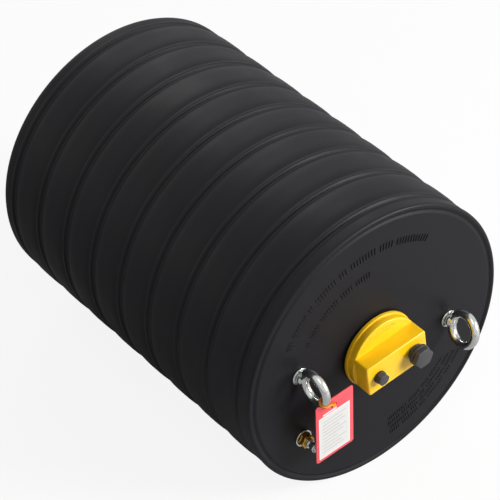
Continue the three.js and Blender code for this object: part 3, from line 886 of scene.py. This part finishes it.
# %% [markdown]
# ## Rear hub
#
# The rear wall is closed by a hub like the head's base. Its port stays open, because the bypass runs
# through it. A gasket, a washer and a nut on each side clamp it, as they do the head.

# %% Rear hub
def rear(profile):
    """A profile seen from the rear wall, as heights above the front face."""
    return [(corner[0], -(BODY_LENGTH + corner[1]), *corner[2:]) for corner in profile]


hub_profile = [
    (9.5, SPIGOT_END),
    (13, SPIGOT_END, 0.8),
    (13, NECK_END),
    (24, NECK_END, 0.8),
    (24, FLANGE_BASE),
    (46, FLANGE_BASE, 0.7),
    (46, 7.1, 1.2),
    (28, 7.1, 0.8),
    (28, 14.1, 1.0),
    (15.5, 14.1, 0.6),
    (15.5, -7.9, 0.6),
    (9.5, -7.9, 0.6),
]
finished(turned("rear_hub_body", rear(hub_profile), sides=128), "yellow_plastic", yellow, "rear_hub")

# %% [markdown]
# ## Hang tag
#
# The tag is a flat vinyl card, 54 by 83 mm. It hangs from the left eye by its tie, with a hole near
# its top edge. It is modelled flat, with the hole at the origin, and then hung in its place. The print
# is a set of very thin plates on the card: a white frame, a pale panel and plain bars.

# %% Tag
TAG_WIDTH = 54
TAG_TOP = 11.5
TAG_BOTTOM = -71.5
TAG_THICKNESS = 1
TAG_HOLE = 3.2
TAG_CORNER = 3
LEFT_EYE = on_circle(EYE_CIRCLE, EYES["left"][0])
TAG_PLACE = (LEFT_EYE[0] + 24.3, RING_CENTRE + 3.4, LEFT_EYE[1] - 33.8)
TAG_TURN = radians(2.6)
TAG_YAW = radians(3.6)
tag_matrix = Matrix.Translation(place(*TAG_PLACE)) @ Euler((0, -TAG_TURN, TAG_YAW)).to_matrix().to_4x4()

bpy.ops.object.select_all(action="DESELECT")
bpy.ops.mesh.primitive_cube_add(size=1, location=(0, 0, (TAG_TOP + TAG_BOTTOM) / 2 * MM))
card = bpy.context.object
card.name = "tag_card"
card.scale = Vector((TAG_WIDTH, TAG_THICKNESS, TAG_TOP - TAG_BOTTOM)) * MM
bpy.ops.object.transform_apply(location=True, rotation=True, scale=True)
bpy.ops.object.mode_set(mode="EDIT")
choose("EDGE", lambda edge: abs(edge.verts[0].co.y - edge.verts[1].co.y) > 0.5 * MM)
bpy.ops.mesh.bevel(offset=TAG_CORNER * MM, segments=6, affect="EDGES")
bpy.ops.object.mode_set(mode="OBJECT")
bpy.ops.object.select_all(action="DESELECT")
bpy.ops.mesh.primitive_cylinder_add(vertices=48, radius=TAG_HOLE * MM, depth=10 * MM, rotation=(pi / 2, 0, 0))
combine(card, bpy.context.object, "DIFFERENCE")
rounded(card, 0.15, angle=60, segments=2)
card.matrix_world = tag_matrix
finished(card, "red_plastic", red_card, "tag")

# %% Print on the tag
PRINT_RISE = 0.06
PANEL = (-21.5, -66.5, 20.5, -9)
FRAME = 1.4


def printed(name, material, box, layer):
    """A thin printed plate between two corners, right and up of the hole."""
    low_x, low_z, high_x, high_z = box
    bpy.ops.object.select_all(action="DESELECT")
    front = TAG_THICKNESS / 2 + PRINT_RISE * (layer - 0.5)
    middle = Vector(((low_x + high_x) / 2, -front, (low_z + high_z) / 2)) * MM
    bpy.ops.mesh.primitive_cube_add(size=1, location=middle)
    plate = bpy.context.object
    plate.name = name
    plate.scale = Vector((high_x - low_x, PRINT_RISE, high_z - low_z)) * MM
    bpy.ops.object.transform_apply(location=True, rotation=True, scale=True)
    plate.data.materials.append(material)
    return plate


low_x, low_z, high_x, high_z = PANEL
frame_box = (low_x - FRAME, low_z - FRAME, high_x + FRAME, high_z + FRAME)
plates = [printed("tag_print", white_print, frame_box, 1), printed("panel", panel_print, PANEL, 2)]
plates.append(printed("header", white_print, (-17, -6.5, 3, -4.5), 1))
LINE_LENGTHS = (34, 29, 32, 24, 34, 30, 21, 33, 27, 30)
LINE_PITCH = 4.9
LINE_HEIGHT = 1.5
for number, length in enumerate(LINE_LENGTHS):
    top = high_z - 6 - number * LINE_PITCH
    plates.append(printed("line", grey_print, (low_x + 4, top - LINE_HEIGHT, low_x + 4 + length, top), 3))
tag_print = join("tag_print", plates)
tag_print.matrix_world = tag_matrix
finished(tag_print, "red_plastic", None)

# %% [markdown]
# ## Cable tie
#
# An orange nylon tie goes round the wire of the left eye, behind the tag and through its hole.
# Its middle line is a curve. A flat oblong section is swept along it, and the little lock is a block
# with rounded edges where both ends meet.

# %% Cable tie
TIE_HALF_WIDTH = 1.5
TIE_HALF_THICKNESS = 0.8
LOCK_SIZE = (5, 5, 4.2)
TIE_ON_RING = radians(30)
TIE_RUN = 0.6
TIE_JOIN = (-9.5, 9.2, 11)
TIE_THROUGH_HOLE = [(-0.6, 2.2, 3.1), (0, 0, 1.4), (-0.6, -2.2, 3.1), (-7, -3.5, 12)]
TIE_ROUND_WIRE = (150, 180, 225, 270, 315, 360, 400)

left_twist = EYES["left"][1]
turn = Matrix.Rotation(-left_twist, 3, "Y")
outwards = turn @ Vector((0, -cos(TIE_ON_RING), -sin(TIE_ON_RING)))
sideways = Vector((cos(left_twist), 0, sin(left_twist)))
wire = place(LEFT_EYE[0], RING_CENTRE, LEFT_EYE[1]) + outwards * RING_RADIUS * MM
loop = (RING_WIRE + TIE_RUN + TIE_HALF_THICKNESS) * MM


def beside_tag(point):
    """A point beside the tag's hole, in metres."""
    right, outward, up = point
    return place(TAG_PLACE[0] + right, TAG_PLACE[1] + outward, TAG_PLACE[2] + up)


route = [beside_tag(TIE_JOIN)]
route += [beside_tag(point) for point in TIE_THROUGH_HOLE]
for degrees in TIE_ROUND_WIRE:
    angle = radians(degrees)
    route.append(wire + outwards * loop * cos(angle) + sideways * loop * sin(angle))
route.append(beside_tag(TIE_JOIN))

bpy.ops.object.select_all(action="DESELECT")
bpy.ops.curve.primitive_nurbs_path_add()
tie = bpy.context.object
tie.name = "orange_tie"
tie.data.splines.clear()
line = tie.data.splines.new("NURBS")
line.points.add(len(route) - 1)
for point, where_to in zip(line.points, route):
    point.co = (*where_to, 1)
line.order_u = 3
line.use_endpoint_u = True
line.resolution_u = 8
tie.data.extrude = (TIE_HALF_WIDTH - TIE_HALF_THICKNESS) * MM
tie.data.bevel_depth = TIE_HALF_THICKNESS * MM
tie.data.bevel_resolution = 3
tie.data.use_fill_caps = True
bpy.ops.object.convert(target="MESH")
bpy.ops.object.select_all(action="DESELECT")
bpy.ops.mesh.primitive_cube_add(size=1, location=beside_tag(TIE_JOIN))
lock = bpy.context.object
lock.scale = Vector(LOCK_SIZE) * MM
bpy.ops.object.transform_apply(location=True, rotation=True, scale=True)
rounded(lock, 0.6)
finished(join("orange_tie", [tie, lock]), "orange_plastic", orange_nylon, "cable_tie")

# %% [markdown]
# ## Carried-over pieces
#
# The gaskets, seals, washers and nuts and the inner hose are right as they were packed. They keep
# their solids and get the same finishes as the pieces that they belong to.

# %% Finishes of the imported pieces
slot_material = {
    "rubber": rubber,
    "seal_rubber": seal_rubber,
    "yellow_plastic": yellow,
    "black_plastic": black_plastic,
    "zinc_plate": zinc,
    "brass": brass,
    "red_plastic": red_card,
    "orange_plastic": orange_nylon,
}
for part in frame["record"]["subparts"]:
    node = frame["nodes"][part["node"]]
    node.data.materials.clear()
    node.data.materials.append(slot_material[part["material_slot"]])

# %% [markdown]
# ## Floor and light
#
# The plug lies on a plain white floor. The camera sees the floor and the world as white, so that the
# background is clean, while the light on the plug stays soft and moderate. Reflections see a world
# nearly as bright, which the zinc and the brass need.

# %% Floor
FLOOR_SIZE = 12
FLOOR_BELOW = 0.1 * MM
FLOOR_GLOW = 0.82
bpy.ops.object.select_all(action="DESELECT")
bpy.ops.mesh.primitive_plane_add(size=FLOOR_SIZE, location=(0, 0, -FLOOR_BELOW))
floor = bpy.context.object
floor.name = "floor"
bpy.ops.object.transform_apply(location=True, rotation=True, scale=True)
white_floor = bpy.data.materials.new("white_floor")
white_floor.use_nodes = True
tree = white_floor.node_tree
shader = tree.nodes["Principled BSDF"]
shader.inputs["Base Color"].default_value = linear("#cfcfcf")
shader.inputs["Roughness"].default_value = 0.8
rays = add(tree, "LightPath")
glow = add(tree, "Emission", values={"Color": (1, 1, 1, 1), "Strength": 1.08})
share = add(tree, "Math", {"operation": "MULTIPLY"}, {1: FLOOR_GLOW}, {0: rays.outputs["Is Camera Ray"]})
mixed = add(tree, "MixShader", links={0: share.outputs[0], 1: shader.outputs[0], 2: glow.outputs[0]})
tree.links.new(mixed.outputs[0], tree.nodes["Material Output"].inputs["Surface"])
floor.data.materials.append(white_floor)

# %% World
WORLD_LEVEL = 0.12
GLOSS_LEVEL = 0.85
world = bpy.data.worlds.new("white_world")
bpy.context.scene.world = world
world.use_nodes = True
tree = world.node_tree
tree.nodes.clear()
rays = add(tree, "LightPath")
gloss = add(tree, "Math", {"operation": "MULTIPLY"}, {1: GLOSS_LEVEL}, {0: rays.outputs["Is Glossy Ray"]})
direct = add(
    tree, "Math", {"operation": "MAXIMUM"}, links={0: rays.outputs["Is Camera Ray"], 1: gloss.outputs[0]}
)
level = add(tree, "Math", {"operation": "MAXIMUM"}, {1: WORLD_LEVEL}, {0: direct.outputs[0]})
sky = add(tree, "Background", values={"Color": (1, 1, 1, 1)}, links={"Strength": level.outputs[0]})
add(tree, "OutputWorld", links={"Surface": sky.outputs[0]})

# %% Lamps
lamps = [
    ("key", (1.9, -2.5, 1.7), 1.5, 150),
    ("top", (-0.9, -1.0, 2.6), 1.2, 8),
    ("back", (0.9, 2.2, 2.2), 1.4, 14),
]
for name, where_to, size, power in lamps:
    aim = (Vector((0, 0, AXIS_Z * MM)) - Vector(where_to)).to_track_quat("-Z", "Y").to_euler()
    bpy.ops.object.light_add(type="AREA", location=where_to, rotation=aim)
    lamp = bpy.context.object
    lamp.name = name
    lamp.data.size = size
    lamp.data.energy = power

bpy.context.scene.view_settings.view_transform = "Standard"
